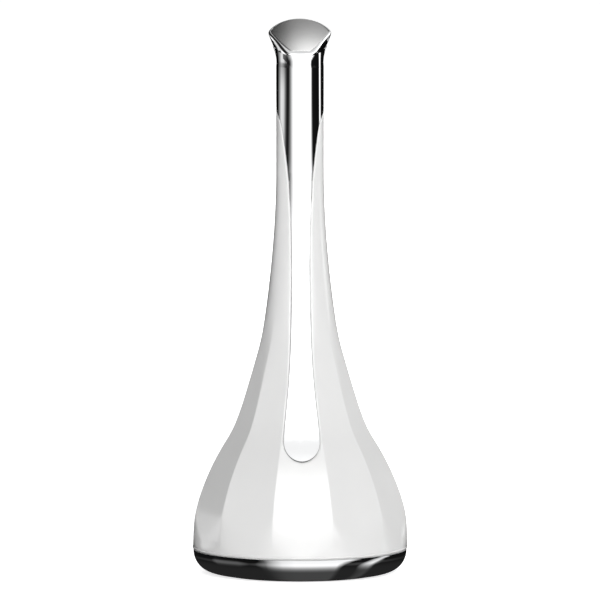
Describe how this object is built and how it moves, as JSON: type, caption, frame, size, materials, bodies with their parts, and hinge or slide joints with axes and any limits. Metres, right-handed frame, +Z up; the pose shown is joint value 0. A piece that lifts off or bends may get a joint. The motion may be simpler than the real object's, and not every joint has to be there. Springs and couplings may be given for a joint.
{
  "type": "heated eye massager wand",
  "caption": "Bell-shaped heated eye massager wand with a pressed front strip, a tilted vibrating head and a twist-off plated base.",
  "frame": {"origin": "centre of the underside of the foot ring, on the bell's axis", "axes": "+Z up along the bell's axis to the head; -Y is the front with the press strip; +X is the right-hand side seen from behind the strip"},
  "size_m": [0.0534, 0.0531, 0.1373],
  "materials": {
    "shell_white": "polished moulding",
    "plated": "mirror plating over moulded plastic",
    "plate_satin": "satin, finely ground",
    "black_rubber": "matt",
    "grey_plastic": "fine spark-eroded moulding",
    "white_plastic": "plain moulding",
    "black_plastic": "plain moulding",
    "screw_steel": "zinc plated",
    "nickel_steel": "nickel plated spring strip",
    "cell_label": "plain sleeve",
    "board_green": "solder resist",
    "ceramic_white": "fired",
    "pad_grey": "soft filled silicone",
    "tungsten_grey": "sintered",
    "lead_red": "wire insulation",
    "lead_white": "wire insulation",
    "lead_blue": "wire insulation",
    "lead_black": "wire insulation"
  },
  "bodies": {
    "housing": {"body_shell": "shell_white", "neck_tube": "plated", "strip_pin": "screw_steel", "head_rim": "plated", "massage_plate": "plate_satin", "thermal_pad": "pad_grey", "heater_disc": "ceramic_white", "thermistor": "black_plastic", "heater_support": "white_plastic", "motor_can": "nickel_steel", "motor_sleeve": "black_rubber", "chassis": "white_plastic", "chassis_screws": "screw_steel", "battery_cell": "cell_label", "positive_contact": "nickel_steel", "ground_leaf": "nickel_steel", "circuit_board": "board_green", "board_screws": "screw_steel", "board_parts": "black_plastic", "switch_base": "black_plastic", "seam_gasket": "black_rubber", "heater_leads": "lead_white", "sensor_leads": "lead_blue", "motor_leads": "lead_red", "battery_leads": "lead_black"},
    "base": {"base_cap": "plated", "base_liner": "grey_plastic", "liner_screws": "screw_steel", "base_contact": "nickel_steel", "battery_spring": "nickel_steel", "foot_ring": "black_rubber"},
    "strip": {"press_strip": "plated", "strip_pusher": "black_rubber"},
    "plunger": {"switch_plunger": "white_plastic"},
    "rotor": {"motor_shaft": "screw_steel", "eccentric_weight": "tungsten_grey"}
  },
  "joints": [
    {"name": "strip_press", "type": "hinge", "parent": "housing", "child": "strip", "pos_m": [0, -0.0025, 0.124], "axis": [1, 0, 0], "range_deg": [0, 0.25], "stiffness_Nm_per_rad": 12, "springref_deg": -0.34},
    {"name": "switch_travel", "type": "slide", "parent": "housing", "child": "plunger", "axis": [0, 1, 0], "range_m": [0, 0.0004]},
    {"name": "motor_spin", "type": "hinge", "parent": "housing", "child": "rotor", "pos_m": [0, 0, 0.1175], "axis": [0, 0, 1], "continuous": true},
    {"name": "base_twist", "type": "hinge", "parent": "housing", "child": "base", "pos_m": [0, 0, 0.003], "axis": [0, 0, 1], "range_deg": [0, 40]}
  ],
  "couplings": [
    {"joint": "switch_travel", "follows": "strip_press", "m_per_rad": 0.088}
  ]
}
